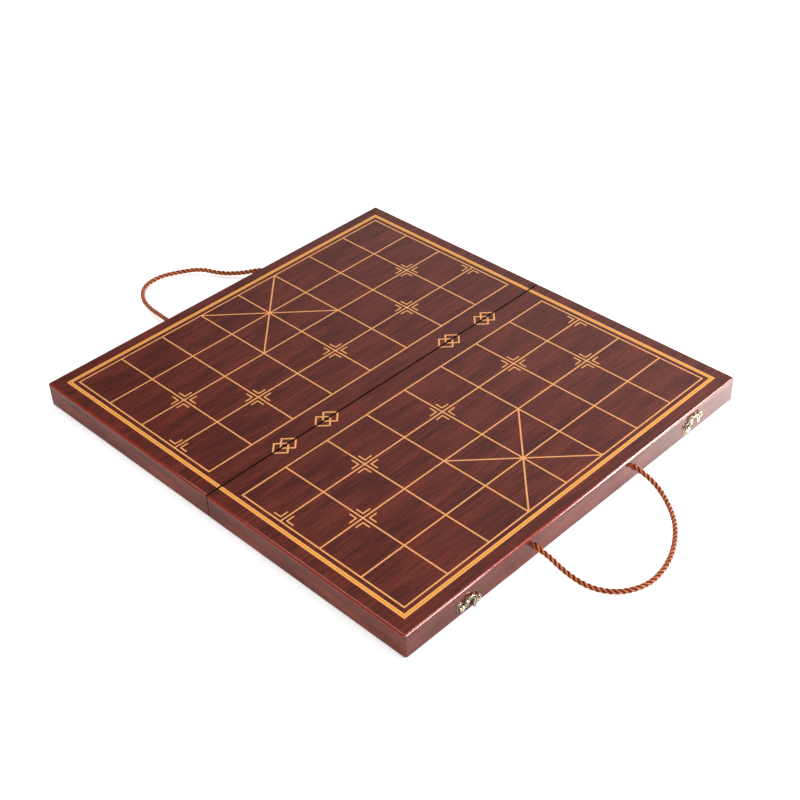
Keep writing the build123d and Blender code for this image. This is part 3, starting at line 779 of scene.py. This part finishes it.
def twist_strands(rope, line, radius, lay, around=12, filament_step=0.8 * MM):
    """Adds strands twisted about a line. radius gives the cord's radius at a share of its length."""
    uv_layer = rope.loops.layers.uv.get("strand") or rope.loops.layers.uv.new("strand")
    outside = rope.verts.layers.float.get("outside") or rope.verts.layers.float.new("outside")
    frames = carried_frames(even_steps(line, filament_step))
    for strand in range(strand_count):
        rings = []
        for i, (point, side, other) in enumerate(frames):
            size = radius(i / (len(frames) - 1))
            strand_radius = strand_share * size
            turn = 2 * pi * (i * filament_step / lay + strand / strand_count)
            out = side * cos(turn) + other * sin(turn)
            centre = point + out * (size - strand_radius)
            across = side * -sin(turn) + other * cos(turn)
            ring = []
            for k in range(around):
                angle = 2 * pi * k / around
                vert = rope.verts.new(centre + (out * cos(angle) + across * sin(angle)) * strand_radius)
                # outside is 1 on a strand's outer side and 0 where it faces the cord's middle; the cord's
                # material paints shade there.
                vert[outside] = 0.5 + 0.5 * cos(angle)
                ring.append(vert)
            rings.append(ring)
        for i, (ring, next_ring) in enumerate(zip(rings, rings[1:])):
            for k in range(around):
                after = (k + 1) % around
                face = rope.faces.new((ring[k], ring[after], next_ring[after], next_ring[k]))
                corners = ((i, k), (i, k + 1), (i + 1, k + 1), (i + 1, k))
                for loop, (u, v) in zip(face.loops, corners):
                    loop[uv_layer].uv = (u * filament_step, v / around)
        for ring in (rings[0][::-1], rings[-1]):
            rope.faces.new(ring)
    bmesh.ops.recalc_face_normals(rope, faces=rope.faces)


knot_turns = 3
knot_length = 10.2 * MM
knot_radius = 5.4 * MM
knot_rope = 1.75 * MM  # the cord is pulled thin in the knot
knot_tail = 5.0 * MM
core_radius = 2.0 * MM  # of the cord inside the turns
tail_end_radius = 2.3 * MM


def barrel_knot(rope, sign, side):
    """Three pulled-tight turns about the cord behind the outer rail, and the cord's end."""
    start = Vector((sign * hole_x, side * (half_depth - rail_thickness), hole_z))
    inwards = Vector((0, -side, 0))
    core = [start + inwards * length for length in (0, knot_length / 2, knot_length, knot_length + knot_tail)]
    twist_strands(rope, core, lambda share: tail_end_radius if share > 0.7 else core_radius, lay_length)
    helix_radius = knot_radius - knot_rope
    steps = 48 * knot_turns
    wrap = []
    for i in range(steps + 1):
        share = i / steps
        turn = 2 * pi * knot_turns * share
        # The first and the last third of a turn tuck in towards the core.
        reach = helix_radius * min(1.0, 6 * share + 0.35, 6 * (1 - share) + 0.35)
        forward = knot_rope + (knot_length - 2 * knot_rope) * share
        wrap.append(start + inwards * forward + Vector((cos(turn), 0, sin(turn))) * reach)
    twist_strands(rope, wrap, lambda share: knot_rope, lay_length * 0.7, around=8, filament_step=0.6 * MM)


for node, half, loop in (("front_cord", "near", front_loop), ("back_cord", "far", back_loop)):
    body = f"{half}_half"
    side = -1 if half == "near" else 1
    route = [Vector((x * MM, side * (half_depth + out * MM), hinge_plane + up * MM)) for x, out, up in loop]
    line = smooth_line(route)
    rope = bmesh.new()
    twist_strands(rope, line, lambda share: cord_radius, lay_length)
    handle = finish_piece(rope, f"{node}_strands", body, cord_rayon, sharp=80)
    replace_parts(handle, node)
    knots = bmesh.new()
    for sign in (-1, 1):
        barrel_knot(knots, sign, side)
    stoppers = finish_piece(knots, f"{node}_stoppers", body, cord_rayon, sharp=80)
    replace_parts(stoppers, f"{node}_knots")

# ---------------------------------------------------------------- camera, floor and lights

# The camera's place and lens follow from the perspective of the board.
camera_place = Vector((-0.7330, -0.7812, 0.8373))
camera_right = Vector((0.70165, -0.71159, -0.03631))
camera_back = Vector((-0.54559, -0.56934, 0.61496))
focal_share = 1411.86 / 800  # focal length, of the picture's width
sensor_width = 36.0

lens = bpy.data.cameras.new("camera")
lens.sensor_width = sensor_width
lens.lens = focal_share * sensor_width
lens.clip_start = 0.05
camera = bpy.data.objects.new("camera", lens)
axes = Matrix((camera_right, camera_back.cross(camera_right), camera_back)).transposed()
camera.matrix_world = Matrix.Translation(camera_place) @ axes.to_4x4()
bpy.context.scene.collection.objects.link(camera)
bpy.context.scene.camera = camera


def studio_floor():
    """Matt white paper. The eye sees it a little whiter than the lamps make it, and reflections see a painted
    glow in it, strongest on the right.
    """
    material, tree = new_material("white_paper")
    ray = add(tree, "LightPath").outputs
    # In reflections the paper glows more towards the right, well past white there: a painted glow, which the
    # box's faces show as a painted reflection.
    across = add(tree, "SeparateXYZ", {0: add(tree, "TexCoord").outputs["Object"]})
    glow_from_left = add(tree, "MapRange", {0: across, 1: -0.1, 2: 0.3})
    glow_on_right = add(tree, "MapRange", {0: across, 1: 0.03, 2: 0.25, 4: 1.2})
    painted_reflection_glow = add(tree, "Math", {0: glow_from_left, 1: glow_on_right}, operation="ADD")
    mirrored = add(
        tree, "Math", {0: ray["Is Glossy Ray"], 1: ray["Is Transmission Ray"]}, operation="MAXIMUM"
    )
    in_gloss = add(tree, "Math", {0: mirrored, 1: painted_reflection_glow}, operation="MULTIPLY")
    lift = add(tree, "Math", {0: ray["Is Camera Ray"], 1: 0.5, 2: in_gloss}, operation="MULTIPLY_ADD")
    glow = add(tree, "Emission", {"Color": linear("#ffffff"), "Strength": lift})
    paper = add(tree, "BsdfDiffuse", {"Color": linear("#f2f2f2")})
    add(tree, "OutputMaterial", {"Surface": add(tree, "AddShader", {0: paper, 1: glow})})
    sheet = bmesh.new()
    bmesh.ops.create_circle(sheet, cap_ends=True, segments=64, radius=6.0)
    mesh = bpy.data.meshes.new("floor")
    sheet.to_mesh(mesh)
    sheet.free()
    mesh.materials.append(material)
    floor = bpy.data.objects.new("floor", mesh)
    bpy.context.scene.collection.objects.link(floor)


def studio_world():
    """A dim room, paler high up on the right and in front. The eye sees plain white instead."""
    world = bpy.data.worlds.new("studio")
    world.use_nodes = True
    tree = world.node_tree
    tree.nodes.clear()
    towards = add(tree, "SeparateXYZ", {0: add(tree, "TexCoord").outputs["Generated"]})
    right = add(tree, "MapRange", {0: towards.outputs[0], 1: 0.42, 2: 0.72, 3: 0.12, 4: 0.65})
    high = add(tree, "MapRange", {0: towards.outputs[2], 1: 0.1, 2: 0.4, 3: 0.3, 4: 1.0})
    back = add(tree, "Math", {0: right, 1: high}, operation="MULTIPLY")
    front = add(tree, "MapRange", {0: towards.outputs[1], 1: 0.0, 2: -0.5, 3: 0.0, 4: 0.45})
    room = add(tree, "Math", {0: back, 1: front}, operation="ADD")
    walls = add(tree, "Background", {"Color": linear("#ffffff"), "Strength": room})
    white = add(tree, "Background", {"Color": linear("#ffffff"), "Strength": 1.0})
    ray = add(tree, "LightPath").outputs
    seen = add(tree, "MixShader", {0: ray["Is Camera Ray"], 1: walls, 2: white})
    add(tree, "OutputWorld", {"Surface": seen})
    bpy.context.scene.world = world


def softbox(name, place, size, watts):
    """A rectangular area lamp that faces the box."""
    lamp = bpy.data.lights.new(name, "AREA")
    lamp.shape = "RECTANGLE"
    lamp.size, lamp.size_y = size
    lamp.energy = watts
    holder = bpy.data.objects.new(name, lamp)
    place = Vector(place)
    turn = (-place).to_track_quat("-Z", "Y").to_matrix().to_4x4()
    holder.matrix_world = Matrix.Translation(place) @ turn
    bpy.context.scene.collection.objects.link(holder)


studio_floor()
studio_world()
softbox("right_softbox", (0.97, -0.92, 0.49), (0.45, 0.35), 13.5)
softbox("front_softbox", (0.34, -1.04, 0.56), (0.22, 0.25), 3)
softbox("left_softbox", (-1.4, -0.3, 0.55), (0.8, 0.8), 7.5)
softbox("overhead_softbox", (0.0, 0.7, 1.8), (1.2, 1.2), 13)

bpy.context.scene.view_settings.view_transform = "Standard"
